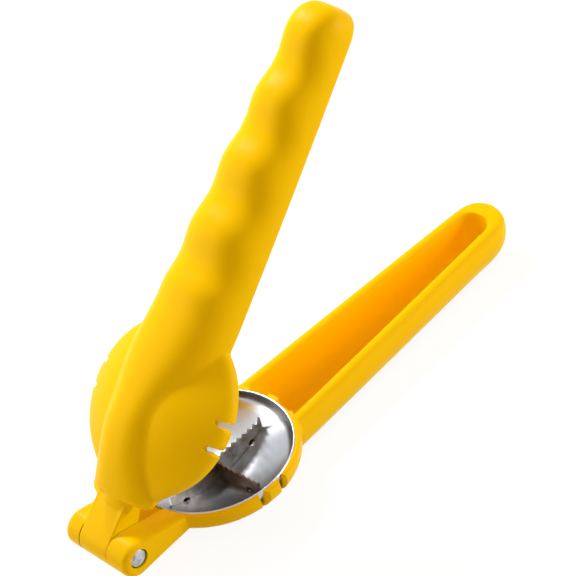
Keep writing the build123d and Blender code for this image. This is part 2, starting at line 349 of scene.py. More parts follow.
def place_lower(points):
    """Turned over about the hinge: (hinge x + x, y, hinge z - z)."""
    x, y, z = points.T
    return np.stack([hinge[0] + x, y, hinge[2] - z], axis=1)


def place_upper(points):
    """Swung about the hinge by the open angle: x and z turn together, and y stays."""
    x, y, z = points.T
    c, s = cos(open_angle), sin(open_angle)
    return np.stack([hinge[0] + x * c - z * s, y, hinge[2] + x * s + z * c], axis=1)


def settle(piece, place):
    """Puts a drawn piece in its place in metres, smooth but for edges past the crease angle."""
    tidy(piece)
    points = np.empty(len(piece.data.vertices) * 3)
    piece.data.vertices.foreach_get("co", points)
    points = place(points.reshape(-1, 3)) * mm
    piece.data.vertices.foreach_set("co", points.ravel())
    tidy(piece, fine_merge)
    piece.data.shade_smooth()
    piece.data.set_sharp_from_angle(angle=radians(crease_angle))
    open_edges = np.count_nonzero(edge_uses(piece.data) != 2)
    print(piece.name, len(piece.data.polygons), "faces,", open_edges, "open edges")
    return piece


print("the upper tip stands at", np.round(place_upper(np.array([[tip, 0, 0]]))[0], 1), "mm")

# %% [markdown]
# ## The outer form
# The sections are closest where the jaw's round rim begins and ends and round the handle's
# tip, because the outline turns fastest there. A cosine spacing does that by itself. Each
# section is the skin's polar curve from one side to the other, and a small quarter round at
# both feet, because no moulding has a knife edge.

# %% Sections and their curves
jaw_rows, neck_rows, grip_rows, tip_rows, front_rows = 124, 28, 106, 26, 8
jaw_first_turn, jaw_last_turn = 0.5, pi - 0.12
front_step = 0.01
end_round = 10.0
neck_reach = 26.0
shoulder_round = 2.4
rim_gap = 0.3
least = 1e-6


def stations():
    """Places along x: cosine steps over the jaw, even ones along the grip, a quarter turn at the tip."""
    jaw = cup_distance - rim_radius * np.cos(np.linspace(jaw_first_turn, jaw_last_turn, jaw_rows))
    front = np.linspace(spine_start, neck_front_far - front_step, front_rows)
    neck = np.linspace(neck_front_far, jaw[0], neck_rows)[:-1]
    start = tip - end_round
    grip = np.linspace(jaw[-1], start, grip_rows)[1:-1]
    end = start + end_round * np.sin(np.linspace(0, pi / 2, tip_rows))
    return np.concatenate([front, neck, jaw, grip, end])


def arch_radius(angle, half_width, height, power):
    """Polar superellipse: ((|cos| / half width)^power + (|sin| / height)^power)^(-1 / power)."""
    across = np.abs(np.cos(angle)) / np.maximum(half_width, least)
    up = np.abs(np.sin(angle)) / np.maximum(height, least)
    return (across**power + up**power) ** (-1 / power)


def dome_radius(angle, x, middle, foot, half):
    """Polar section of a round jaw: the nearer of its upright rim wall and its spherical cap."""
    along = np.maximum(x - cup_distance, -neck_reach)
    far = jaw_half_width(x, neck_front_far)
    near = jaw_half_width(x, neck_front_near)
    away = np.where(np.cos(angle) > 0, far - middle, near + middle)
    wall = np.maximum(away, 0) / np.maximum(np.abs(np.cos(angle)), least)
    rise = half.dome_height - rim_gap - half.wall_height
    ball = (rim_radius**2 + rise**2) / (2 * rise)
    drop = foot - (half.dome_height - ball)
    toward_ball = middle * np.cos(angle) + drop * np.sin(angle)
    inside = toward_ball**2 - (along**2 + middle**2 + drop**2 - ball**2)
    cap = -toward_ball + np.sqrt(np.maximum(inside, 0))
    return soft_min(wall, cap, shoulder_round)


print(len(stations()), "sections from x", round(stations()[0], 1), "to", round(stations()[-1], 1))

# %% Outer form of a half
arch_points = 161
lip_points = 7
rim_lip = 0.9
handle_lip = 2.1
lip_width_share = 0.8
end_plan_power = 2.9


def outer_form(name, half):
    """A half's back: the soft maximum of arch and dome in every direction, with a rounded foot."""
    x = stations()[:, None]
    angle = np.linspace(0, pi, arch_points)[None, :]
    width, top = half.back(x)
    width = width * end_share(x, tip, end_round, end_plan_power)
    lip_change = ease(x, cup_distance + rim_radius / 2, cup_distance + rim_radius)
    lip = np.minimum(rim_lip + (handle_lip - rim_lip) * lip_change, lip_width_share * width)
    foot = rim_gap + lip
    height = np.maximum(top - foot, 0) * end_share(x, tip, half.tip_round, half.tip_power)
    middle = half.middle(x)
    arch = arch_radius(angle, width, height, half.power(x))
    radius = soft_max(arch, dome_radius(angle, x, middle, foot, half), half.valley)
    lip_angle = np.linspace(-pi / 2, 0, lip_points)[None, :-1]
    y_start = middle + radius[:, :1] - lip + lip * np.cos(lip_angle)
    y_end = middle - radius[:, -1:] + lip - lip * np.cos(lip_angle)
    z_lip = foot + lip * np.sin(lip_angle)
    y = np.concatenate([y_start, middle + radius * np.cos(angle), y_end[:, ::-1]], axis=1)
    z = np.concatenate([z_lip, foot + radius * np.sin(angle), z_lip[:, ::-1]], axis=1)
    return solid(name, np.stack([np.broadcast_to(x, y.shape), y, z], axis=-1))


print("a section has", arch_points + 2 * (lip_points - 1), "points")

# %% [markdown]
# ## Hinge plates
# The ears and the knuckle are the same form: a barrel round the pin with a plate that leaves
# it along its tangents. A cylinder and a box joined by a boolean would leave a ridge where they
# meet. Seen from the side it is one closed outline, so it is drawn as one, carried along the
# pin, and drawn in a little at both ends for the rounded edges.

# %% Barrel and plate
barrel_radius = 6.1
plate_root = 22.0
plate_corners = 3
plate_round_share = 0.3
barrel_points = 60
edge_rows = 8
sharpest_corner = 0.3


def plate_outline(slope_end, root_low, root_high, centre):
    """Outline in x and z: the barrel's arc between its two tangents, and the plate's corners."""
    high_x, high_z = plate_root - centre[0], root_high - centre[1]
    low_x, low_z = slope_end - centre[0], root_low - centre[1]
    high = atan2(high_z, high_x) + acos(barrel_radius / hypot(high_x, high_z))
    low = atan2(low_z, low_x) - acos(barrel_radius / hypot(low_x, low_z))
    arc = np.linspace(high, 2 * pi + low, barrel_points)
    barrel = barrel_radius * np.stack([np.cos(arc), np.sin(arc)], axis=1) + centre
    corners = np.array([(slope_end, root_low), (plate_root, root_low), (plate_root, root_high)])
    return np.concatenate([barrel, corners])


def drawn_in(outline, depth):
    """The outline moved inwards by depth, each corner along the line that halves it."""
    ahead = np.roll(outline, -1, axis=0) - outline
    ahead = ahead / np.linalg.norm(ahead, axis=1, keepdims=True)
    inward = np.stack([-ahead[:, 1], ahead[:, 0]], axis=1)
    half_way = inward + np.roll(inward, 1, axis=0)
    stretch = np.maximum((half_way * inward).sum(1, keepdims=True), sharpest_corner)
    return outline + depth * half_way / stretch


def carried_along_pin(name, outline, y_low, y_high, edge):
    """The outline at every y from y_low to y_high, with a quarter round of radius edge at both ends."""
    turn = np.linspace(0, pi / 2, edge_rows)[::-1]
    rise = edge * (1 - np.sin(turn))
    inset = edge * (1 - np.cos(turn))
    y = np.concatenate([y_low + rise, y_high - rise[::-1]])
    depth = np.concatenate([inset, inset[::-1]])
    on_barrel = np.arange(len(outline)) < len(outline) - plate_corners
    share = np.where(on_barrel, 1.0, plate_round_share)[:, None]
    rings = [drawn_in(outline, d * share) for d in depth]
    return solid(name, np.array([np.insert(ring, 1, level, axis=1) for ring, level in zip(rings, y)]))


print("a plate's outline has", barrel_points + plate_corners, "points")

# %% [markdown]
# ## Simple tools
# Most cores are simple: something turned round an upright axis, a bar along the pin, a block, or
# an outline carried straight through. Blender has these as primitives, but a grid keeps them
# in the same few lines as everything else, with sizes in millimetres.

# %% Turned, bar, block and through
overrun = 1.0


def turned(name, profile, centre_x=0.0, sides=192):
    """A profile of (radius, height) points turned round the upright axis at centre_x."""
    turn = np.linspace(0, 2 * pi, sides, endpoint=False)[None, :]
    radius, height = np.array(profile).T[:, :, None]
    level = np.broadcast_to(height, (len(profile), sides))
    return solid(name, np.stack([centre_x + radius * np.cos(turn), radius * np.sin(turn), level], axis=-1))


def bar(name, radius, y_low, y_high, sides=96):
    """A round bar along the hinge axis."""
    turn = np.linspace(0, 2 * pi, sides, endpoint=False)
    ring = np.stack([radius * np.cos(turn), np.zeros(sides), radius * np.sin(turn)], axis=1)
    return solid(name, np.array([ring + [0, y_low, 0], ring + [0, y_high, 0]]))


def block(name, low, high):
    """A box between two corners, as a grid of two square rings."""
    (x0, y0, z0), (x1, y1, z1) = low, high
    ring = np.array([(x0, y0), (x1, y0), (x1, y1), (x0, y1)], float)
    return solid(name, np.array([np.insert(ring, 2, z, axis=1) for z in (z0, z1)]))


def through_pin_line(name, outline, y_low, y_high):
    """An outline in x and z carried straight from y_low to y_high."""
    return solid(name, np.array([np.insert(outline, 1, y, axis=1) for y in (y_low, y_high)]))


print("a core that cuts through an edge stands out by", overrun, "mm or more")

# %% [markdown]
# ## The channel in a handle
# Both handles are hollow, open towards each other, which saves plastic and keeps the wall even,
# as a moulding needs. The core is a second, smaller arch. Its lip flares outwards, so the cut
# leaves a rounded edge, and the jaw's round wall cuts it off.

# %% Channel core
handle_wall = 4.4
handle_floor = 2.4
tip_wall = 5.6
inner_end_round = 6.5
end_depth_power = 4.0
channel_power = 3.0
channel_rows = 140
channel_end_rows = 16
channel_points = 121
flare_points = 7
least_lip_share = 0.05


def channel_core(name, half):
    """The space inside a handle: an inner arch with flared lips, cut off by the jaw's round wall."""
    end = tip - tip_wall
    straight = end - inner_end_round
    along = np.linspace(cup_distance, straight, channel_rows)[:-1]
    round_end = straight + inner_end_round * np.sin(np.linspace(0, pi / 2, channel_end_rows))
    x = np.concatenate([along, round_end])[:, None]
    angle = np.linspace(0, pi, channel_points)[None, :]
    plan = end_share(x, end, inner_end_round, end_plan_power)
    width = (side(x, half.bulge) - handle_wall) * plan
    lip = handle_lip * np.maximum(plan, least_lip_share)
    foot = rim_gap + lip
    depth = half.depth(x, grips=False) - handle_floor
    height = np.maximum(depth - foot, 0) * end_share(x, end, inner_end_round, end_depth_power)
    radius = arch_radius(angle, width, height, channel_power)
    flare = np.linspace(0, pi / 2, flare_points)[None, 1:]
    y_flare = radius[:, :1] + lip * (1 - np.cos(flare))
    z_flare = foot - lip * np.sin(flare)
    y_over = y_flare[:, -1:]
    z_over = np.full_like(y_over, rim_gap - overrun)
    y = np.concatenate([-y_over, -y_flare[:, ::-1], -radius * np.cos(angle), y_flare, y_over], axis=1)
    z = np.concatenate([z_over, z_flare[:, ::-1], foot + radius * np.sin(angle), z_flare, z_over], axis=1)
    core = solid(name, np.stack([np.broadcast_to(x, y.shape), y + half.middle(x), z], axis=-1))
    low, high = -2 * overrun, lower_depth
    wall = [(0, low), (rim_radius, low), (rim_radius, high), (0, high)]
    return cut(core, turned("jaw_wall", wall, cup_distance))


channel_start = side(cup_distance + rim_radius, lower.bulge) - handle_wall
print("the lower channel's half width behind the cup:", round(channel_start, 2))

# %% [markdown]
# ## Slots in the rims
# Both rims have spring tabs, set free by four slots each. A slot could be a plain box, but
# the mould leaves a round inner end and a mouth with soft corners, and those are what the
# light catches. One outline in plan has all of it, and a loop sets it on both sides.

# %% Slot cores
slot_pitch = 8.4
slot_inner_y = 24.2
slot_end_points = 13
slot_mouth_points = 8


def slot_cores(name, width, mouth_width, mouth_depth):
    """Four slots: a half round, two straight sides and a mouth flared by quarters of an ellipse."""
    half = width / 2
    edge = sqrt(rim_radius**2 - (slot_pitch / 2) ** 2)
    turn = np.linspace(pi, 2 * pi, slot_end_points)
    bend = np.linspace(0, pi / 2, slot_mouth_points)
    inner = np.stack([half * np.cos(turn), slot_inner_y + half + half * np.sin(turn)], axis=1)
    mouth_x = half + mouth_width * (1 - np.cos(bend))
    mouth_y = edge - mouth_depth + mouth_depth * np.sin(bend)
    right = np.stack([mouth_x, mouth_y], axis=1)
    far = np.array([(mouth_x[-1], edge + 2 * overrun), (-mouth_x[-1], edge + 2 * overrun)])
    left = right[::-1] * [-1, 1]
    outline = np.concatenate([inner, right, far, left])
    tools = []
    for x_side in (-1, 1):
        for y_side in (-1, 1):
            plan = outline * [1, y_side] + [cup_distance + x_side * slot_pitch / 2, 0]
            rings = [np.insert(plan, 2, z, axis=1) for z in (-overrun, lower_depth)]
            tools.append(solid(name, np.array(rings)))
    for tool in tools[1:]:
        join(tools[0], tool)
    return tools[0]


print("slots reach", round(rim_radius - slot_inner_y, 2), "mm into the jaws")

# %% [markdown]
# ## The upper jaw's hollow
# The jaw is a dome of even wall that closes over the nut. Its hollow is turned round the cup's
# axis: a spherical cap, a soft shoulder, an upright wall and a small flare at the rim.

# %% Hollow of the upper jaw
upper_shell = 3.2
hollow_lip = 0.5
hollow_points = 60
hollow_flare_points = 6


def dome_profile(radius, wall_height, top, lip):
    """Half section of the hollow, from its axis down: the nearer of cap and wall, then the flared lip."""
    rise = top - rim_gap - wall_height
    ball = (radius**2 + rise**2) / (2 * rise)
    angle = np.linspace(pi / 2, 0, hollow_points)
    wall = radius / np.maximum(np.cos(angle), least)
    drop = rim_gap - (top - ball)
    cap = -drop * np.sin(angle) + np.sqrt((drop * np.sin(angle)) ** 2 + ball**2 - drop**2)
    reach = soft_min(wall, cap, shoulder_round / 2)
    skin = np.stack([reach * np.cos(angle), rim_gap + reach * np.sin(angle)], axis=1)
    skin = skin[reach * np.sin(angle) > lip]
    skin[0, 0] = 0.0
    bend = np.linspace(0, pi / 2, hollow_flare_points)
    flare = np.stack([radius + lip * (1 - np.cos(bend)), rim_gap + lip * (1 - np.sin(bend))], axis=1)
    return np.concatenate([skin, flare, [(radius + lip, rim_gap - overrun), (0.0, rim_gap - overrun)]])


print("the upper jaw's hollow is", round(upper.dome_height - upper_shell, 2), "mm high")

# %% [markdown]
# ## The upper half
# The domed jaw, the spine and the finger grips are one outer form. The neck's underside slopes
# on both sides of the knuckle, so that it clears the ears when the jaws close. The knuckle is
# joined to it, and then the cores are taken away: the jaw's hollow, the handle's channel, the
# slots and the bore for the pin.

# %% Neck and knuckle
knuckle_slope_end = 17.6
knuckle_root_height = 5.4
knuckle_shift = (-0.5, -0.63)    # the ears' shift, as the opened half sees it
knuckle_edge_round = 0.5
clearance_start = 21.3
clearance_slope = 0.31
clearance_side = 30.0

upper_piece = outer_form("upper_moulding", upper)
slope_top = rim_gap + (clearance_start - spine_start) * clearance_slope
wedge = np.array([(clearance_start, rim_gap), (spine_start, slope_top),
                  (spine_start, -overrun), (clearance_start, -overrun)])
for y_low, y_high in ((-clearance_side, knuckle_low), (knuckle_high, clearance_side)):
    cut(upper_piece, through_pin_line("ear_clearance", wedge, y_low, y_high))
knuckle_outline = plate_outline(knuckle_slope_end, rim_gap, knuckle_root_height, knuckle_shift)
knuckle = carried_along_pin("knuckle", knuckle_outline, knuckle_low, knuckle_high, knuckle_edge_round)
join(upper_piece, knuckle)
print("knuckle from y", knuckle_low, "to", knuckle_high, "mm")

# %% Hollows of the upper half
upper_slot_width = 1.9
upper_mouth = 1.5
bore_gap = 0.05

hollow_top = upper.dome_height - upper_shell
hollow = dome_profile(rim_radius - upper_shell, upper.wall_height, hollow_top, hollow_lip)
cut(upper_piece, turned("jaw_hollow", hollow, cup_distance))
cut(upper_piece, channel_core("upper_channel", upper))
cut(upper_piece, slot_cores("upper_slots", upper_slot_width, upper_mouth, upper_mouth))
cut(upper_piece, bar("bore", pin_radius + bore_gap, knuckle_low - overrun, knuckle_high + overrun))
settle(upper_piece, place_upper)
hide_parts("upper_jaw_and_finger_handle")
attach(upper_piece, "upper_half")

# %% [markdown]
# ## The dish's section
# A dish is pressed from flat sheet: a shallow floor, a tight corner and an upright side. Its
# section is needed twice, for the dish and for the seat in the lower jaw, so one function
# gives it at any distance from the dish's inside.

# %% Dish section
dish_rim_radius = 26.0
dish_sheet = dish_outside - dish_rim_radius
dish_depth = 12.0
dish_floor_curve = 45.0
dish_corner_curve = 6.0
floor_points, corner_points = 60, 24


def bowl_profile(offset, z_top):
    """Half section at offset from the dish's inside: the floor's arc, the corner's arc and the side."""
    floor_z = dish_depth - dish_floor_curve
    corner_x = dish_rim_radius - dish_corner_curve
    corner_z = floor_z + sqrt((dish_floor_curve - dish_corner_curve) ** 2 - corner_x**2)
    corner_angle = atan2(corner_z - floor_z, corner_x)
    base = np.linspace(pi / 2, corner_angle, floor_points)
    bend = np.linspace(corner_angle, 0, corner_points)[1:]
    floor_arc = (dish_floor_curve + offset) * np.stack([np.cos(base), np.sin(base)], axis=1) + [0, floor_z]
    corner_arc = (dish_corner_curve + offset) * np.stack([np.cos(bend), np.sin(bend)], axis=1)
    floor_arc[0, 0] = 0.0
    side_top = (dish_rim_radius + offset, z_top)
    return np.concatenate([floor_arc, corner_arc + [corner_x, corner_z], [side_top]])


print("dish sheet", round(dish_sheet, 2), "mm thick, floor", dish_depth, "mm below the rim")

# %% [markdown]
# ## The lower half
# The same outer form with other sizes, on its back. Its jaw is a cup that the steel dish sits
# in, with a shallow space under the dish. Its channel opens onto the cup over a low wall with a
# nub in its middle, and two ears carry the pin. Between them there is room for the knuckle: a
# round about the pin and a wedge that opens above the rim.

# %% Lower jaw, handle and ears
pin_end_inset = 0.5
hinge_half = pin_half + pin_end_inset
ear_root_height = 4.8
ear_shift = (0.0, 0.8)
ear_edge_round = 2.1
flat_reach = 60.0

ear_outline = plate_outline(ear_slope_end, rim_gap, rim_gap + ear_root_height, ear_shift)
ears = carried_along_pin("ears", ear_outline, -hinge_half, hinge_half, ear_edge_round)
lower_piece = join(outer_form("lower_moulding", lower), ears)
under = (0, -flat_reach, lower_depth), (tip + overrun, flat_reach, lower_depth + flat_reach)
cut(lower_piece, block("flat", *under))
cut(lower_piece, channel_core("lower_channel", lower))
print("ears from y", round(-hinge_half, 2), "to", round(hinge_half, 2), "mm")

# %% Seat for the dish
sump_radius = 18.5
sump_depth = 1.2
sump_top = 5.0
sump_points = 24
wall_drop = 2.6
nub_width = 4.0
notch_start = 18.0

seat = bowl_profile(dish_sheet, -overrun)
cut(lower_piece, turned("bowl", np.concatenate([seat, [(0.0, -overrun)]]), cup_distance))
away = np.linspace(sump_radius, 0, sump_points)
sump_curve = dish_floor_curve + dish_sheet + sump_depth
sump_floor = dish_depth - dish_floor_curve + np.sqrt(sump_curve**2 - away**2)
sump = [(0.0, sump_top), (sump_radius, sump_top), *zip(away, sump_floor)]
cut(lower_piece, turned("sump", sump, cup_distance))
notch_side = side(cup_distance + dish_outside, lower.bulge) - handle_wall - rim_lip
notch_end = cup_distance + rim_radius + 2 * overrun
for y_low, y_high in ((-notch_side, -nub_width / 2), (nub_width / 2, notch_side)):
    corners = (cup_distance + notch_start, y_low, -overrun), (notch_end, y_high, rim_gap + wall_drop)
    cut(lower_piece, block("notch", *corners))
print("notches from y", nub_width / 2, "to", round(notch_side, 2), "on both sides")

# %% Slots, knuckle space and bore
lower_slot_width = 1.3
lower_mouth_width = 1.5
lower_mouth_depth = 3.4
knuckle_gap = 0.15
knuckle_floor_gap = 1.0
space_points = 60
pin_recess_radius = 3.35
pin_recess_depth = 1.2

cut(lower_piece, slot_cores("lower_slots", lower_slot_width, lower_mouth_width, lower_mouth_depth))
space_radius = barrel_radius + knuckle_floor_gap
arc = np.linspace(acos(space_radius / ear_slope_end), 1.5 * pi, space_points)
space = np.concatenate([space_radius * np.stack([np.cos(arc), np.sin(arc)], axis=1),
                        [(ear_slope_end, -space_radius), (ear_slope_end, 0)]])
space_low, space_high = knuckle_low - knuckle_gap, knuckle_high + knuckle_gap
cut(lower_piece, through_pin_line("knuckle_space", space, space_low, space_high))
cut(lower_piece, bar("bore", pin_radius, -hinge_half - overrun, hinge_half + overrun))
for y_low, y_high in ((-hinge_half - overrun, pin_recess_depth - hinge_half),
                      (hinge_half - pin_recess_depth, hinge_half + overrun)):
    cut(lower_piece, bar("recess", pin_recess_radius, y_low, y_high))
settle(lower_piece, place_lower)
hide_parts("lower_jaw_and_handle")
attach(lower_piece, "lower_half")

# %% [markdown]
# ## The steel dish
# The dish is the section turned round its axis. Mirrors show every flat, so it is drawn far
# finer than its size asks for. The inside, the rim's round and the outside are one closed loop,
# which gives the sheet its real thickness. The slits and holes for the blades are cut through.

# %% Dish
blade_sheet = 0.8
blade_reach = 20.2
blade_side_gap = 0.1
slit_hole_radius = 1.3
slit_hole_distance = 14.6
dish_rim_round = dish_sheet / 2
dish_sides, hole_sides, rim_points = 256, 48, 9
through_low, through_high = 2.0, dish_depth + 5.0

inside = bowl_profile(0.0, dish_rim_round)
outside = bowl_profile(dish_sheet, dish_rim_round)
over = np.linspace(pi, 0, rim_points)[1:-1]
rim_middle = dish_rim_radius + dish_rim_round
rim = np.stack([rim_middle + dish_rim_round * np.cos(over), dish_rim_round * (1 - np.sin(over))], axis=1)
dish_piece = turned("pressed_dish", np.concatenate([inside, rim, outside[::-1]]), 0.0, dish_sides)

slit = blade_reach + blade_side_gap
slit_half = blade_sheet / 2 + blade_side_gap
for half_x, half_y in ((slit, slit_half), (slit_half, slit)):
    cut(dish_piece, block("slit", (-half_x, -half_y, through_low), (half_x, half_y, through_high)))
hole_profile = [(0, through_low), (slit_hole_radius, through_low),
                (slit_hole_radius, through_high), (0, through_high)]
for dx, dy in ((1, 0), (-1, 0), (0, 1), (0, -1)):
    hole = turned("hole", hole_profile, 0.0, hole_sides)
    hole.data.transform(Matrix.Translation((dx * slit_hole_distance, dy * slit_hole_distance, 0)))
    cut(dish_piece, hole)
dish_piece.data.transform(Matrix.Translation((cup_distance, 0, 0)))
settle(dish_piece, place_lower)
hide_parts("steel_dish")
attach(dish_piece, "lower_half")

# %% [markdown]
# ## Finishes
# A finish is a small graph of nodes. Written node by node it would be pages long, so one class
# wraps a socket and lets Python write the sums: adding two of them adds a Math node. Constants
# go straight onto the shader, and only what really changes over the surface is wired to it.

# %% Sums on sockets
def operator(operation, swapped=False):
    """A method for one of Python's operators: it adds a Math node to the wire's finish."""
    def method(wire, other):
        first, second = (other, wire) if swapped else (wire, other)
        return wire.finish.node("ShaderNodeMath", {"operation": operation}, {0: first, 1: second})
    return method


class Wire:
    """An output socket of a finish. Sums on it become Math nodes."""
    __add__ = operator("ADD")
    __radd__ = operator("ADD", swapped=True)
    __rsub__ = operator("SUBTRACT", swapped=True)
    __mul__ = operator("MULTIPLY")
    __pow__ = operator("POWER")

    def __init__(self, finish, socket):
        self.finish, self.socket = finish, socket

    def beside(self, name):
        """Another output of the same node."""
        return Wire(self.finish, self.socket.node.outputs[name])


print("a wire can be added, taken from a number, multiplied and raised to a power")

# %% A finish and its nodes
class Finish:
    """The nodes of a material or of the world, with one method that adds any node and links it."""

    def __init__(self, owner, end="ShaderNodeOutputMaterial"):
        self.owner, self.end = owner, end
        owner.use_nodes = True
        self.tree = owner.node_tree
        self.tree.nodes.clear()

    def node(self, kind, settings=None, values=None, output=0):
        """Adds a node of that kind, sets its settings, and sets or links the sockets named in values."""
        made = self.tree.nodes.new(kind)
        for key, value in (settings or {}).items():
            setattr(made, key, value)
        for key, value in (values or {}).items():
            if isinstance(value, Wire):
                self.tree.links.new(value.socket, made.inputs[key])
            else:
                made.inputs[key].default_value = value
        return Wire(self, made.outputs[output])

    def place(self):
        """Object coordinates: metres in the part's own frame."""
        return self.node("ShaderNodeTexCoord", output="Object")

    def mix(self, factor, a, b):
        """A colour between a and b."""
        return self.node("ShaderNodeMix", {"data_type": "RGBA"}, {0: factor, 6: a, 7: b}, output=2)

    def noise(self, scale, detail=2.0, roughness=0.5):
        """Fractal noise from 0 to 1; scale counts features per metre."""
        fill = {"Vector": self.place(), "Scale": scale, "Detail": detail, "Roughness": roughness}
        return self.node("ShaderNodeTexNoise", None, fill)

    def range(self, value, low, high):
        """Carries value from low..high to 0..1, and stops at the ends."""
        return self.node("ShaderNodeMapRange", None, {0: value, 1: low, 2: high})

    def bump(self, height, strength, distance):
        """A normal tilted by height, which is counted in units of distance."""
        fill = {"Height": height, "Strength": strength, "Distance": distance}
        return self.node("ShaderNodeBump", None, fill)

    def shine(self, colour, metallic, roughness, normal, **constants):
        """The shader that every solid piece ends in."""
        fill = {"Base Color": colour, "Metallic": metallic, "Roughness": roughness, "Normal": normal}
        return self.surface(self.node("ShaderNodeBsdfPrincipled", None, {**fill, **constants}))

    def seen(self):
        """1 for rays from the camera, in a reflection or through glass, and 0 for rays that carry light."""
        camera = self.node("ShaderNodeLightPath", output="Is Camera Ray")
        larger = camera
        for name in ("Is Glossy Ray", "Is Transmission Ray"):
            pair = {0: larger, 1: camera.beside(name)}
            larger = self.node("ShaderNodeMath", {"operation": "MAXIMUM"}, pair)
        return larger

    def choose(self, factor, first, second):
        """The first shader where factor is 0 and the second where it is 1."""
        return self.node("ShaderNodeMixShader", None, {0: factor, 1: first, 2: second})

    def surface(self, shader):
        """Links the shader to the end of the graph and gives back the material or the world."""
        self.tree.links.new(shader.socket, self.tree.nodes.new(self.end).inputs["Surface"])
        return self.owner


print("a finish can", [name for name in vars(Finish) if not name.startswith("_")])

# %% Colours and dressing
def new_finish(name):
    """An empty finish for a new material."""
    return Finish(bpy.data.materials.new(name))


def rgb(red, green, blue):
    """A colour as a picture editor names it, 0 to 255, in linear light with full alpha."""
    channel = [v / 255 for v in (red, green, blue)]
    return (*[v / 12.92 if v <= 0.04045 else ((v + 0.055) / 1.055) ** 2.4 for v in channel], 1.0)


def dress(piece, material):
    """Gives the whole piece one material."""
    piece.data.materials.clear()
    piece.data.materials.append(material)


print("mid grey 128 is", round(rgb(128, 128, 128)[0], 3), "in linear light")

# %% [markdown]
# ## Moulded yellow plastic
# The plastic is dyed through and opaque. Its hollows turn amber instead of grey, because the
# light in them has bounced from yellow to yellow. Real bounces give that, and a little too much
# of it, so a greener yellow is painted into the hollows to hold the bounced light back. Ambient
# occlusion tells how open a spot is, and tight crevices such as the slots get painted brown shade.
# The surface is smooth but far from a mirror, so its shine is weak and wide. The mould leaves a
# faint orange peel, handling adds small dull patches, and edges are rubbed slightly paler.

# %% Yellow plastic
open_yellow, painted_hollow_yellow = rgb(255, 202, 0), rgb(255, 236, 0)
rubbed_yellow, painted_crevice_shade = rgb(255, 208, 20), rgb(116, 60, 0)
occlusion_reach = 8.0
flow_share = 0.1
edge_rub = 0.3
plastic_roughness = 0.3
flow_roughness = 0.05
scuff_roughness = 0.05
scuff_height = 0.3
plastic_shine = 0.04


def moulded_plastic(name):
    """Greener yellow painted into hollows against bounced light, brown painted shade in crevices, flow
    marks, scuffs and a faint orange peel.
    """
    finish = new_finish(name)
    reach = {"Distance": occlusion_reach * mm}
    open_share = finish.node("ShaderNodeAmbientOcclusion", {"samples": 8}, reach, output="AO")
    flow = finish.noise(scale=45, detail=3.0)
    open_part = finish.range(open_share, low=0.2, high=0.9) * (1 - flow_share) + flow * flow_share
    # painted light: a greener yellow where ambient occlusion finds a hollow, to hold back its bounced amber
    colour = finish.mix(open_part, painted_hollow_yellow, open_yellow)
    pointiness = finish.node("ShaderNodeNewGeometry", output="Pointiness")
    edge = finish.range(pointiness, low=0.52, high=0.6)
    colour = finish.mix(edge * edge_rub, colour, rubbed_yellow)
    scuff = finish.range(finish.noise(scale=160, detail=4.0, roughness=0.7), low=0.55, high=0.75)
    # painted shade: brown where ambient occlusion finds a tight crevice such as a slot
    colour = finish.mix(finish.range(open_share, low=0.12, high=0.45), painted_crevice_shade, colour)
    rough = plastic_roughness + flow * flow_roughness + scuff * scuff_roughness
    height = finish.noise(scale=700, detail=1.0) + scuff * scuff_height
    peel = finish.bump(height, strength=0.05, distance=0.0002)
    return finish.shine(colour, 0.0, rough, peel, **{"Specular IOR Level": plastic_shine})


yellow = moulded_plastic("moulded_yellow")
dress(upper_piece, yellow)
dress(lower_piece, yellow)
print(yellow.name, "has", len(yellow.node_tree.nodes), "nodes")

# %% [markdown]
# ## Polished steel
# The dish is polished sheet. What tells steel from a mirror is that its shine is never even:
# the press leaves faint rings about the centre and the polish leaves clouds and fine marks. An
# image could hold these, but a sine of the distance from the centre and two noises do it at
# any size.

# %% Dish steel
ring_radians_per_metre = 9000.0
ring_height = 0.3
sheet_roughness = 0.17
cloud_roughness = 0.08
mark_roughness = 0.04
steel_dark, steel_light = rgb(176, 179, 186), rgb(204, 207, 213)


def polished_sheet(name, centre):
    """Polished sheet with press rings about the centre, clouds in the polish and fine marks."""
    finish = new_finish(name)
    shift = {"Vector": finish.place(), "Location": tuple(-v * mm for v in centre)}
    away = finish.node("ShaderNodeMapping", None, shift)
    x = finish.node("ShaderNodeSeparateXYZ", None, {"Vector": away})
    y = x.beside("Y")
    distance = (x * x + y * y) ** 0.5
    rings = finish.node("ShaderNodeMath", {"operation": "SINE"}, {0: distance * ring_radians_per_metre})
    cloud = finish.noise(scale=120, detail=4.0, roughness=0.6)
    marks = finish.noise(scale=900, detail=2.0, roughness=0.6)
    colour = finish.mix(cloud, steel_dark, steel_light)
    rough = sheet_roughness + cloud * cloud_roughness + marks * mark_roughness
    relief = finish.bump(rings * ring_height + marks, strength=0.03, distance=0.0001)
    return finish.shine(colour, 1.0, rough, relief)


dish_steel = polished_sheet("polished_steel", (hinge[0] + cup_distance, 0, 0))
dress(dish_piece, dish_steel)
print("press rings on the dish stand", round(2 * pi / ring_radians_per_metre / mm, 2), "mm apart")

# %% [markdown]
# ## Stamped and turned steel
# The blades are stamped sheet, duller than the dish, with a fine grain and stains. The one
# across the handle gets painted shade: a darker, browner colour for the shade that it reflects.
# The pin's end is turned and a little mottled.
# Their CAD shapes are right as they are, so they only get a finish.

# %% Blades and pin
blade_roughness = 0.26
grain_roughness = 0.12
stain_roughness = 0.08
pin_roughness = 0.42
pin_polish = 0.15
pin_dark, pin_light = rgb(150, 150, 154), rgb(214, 214, 217)


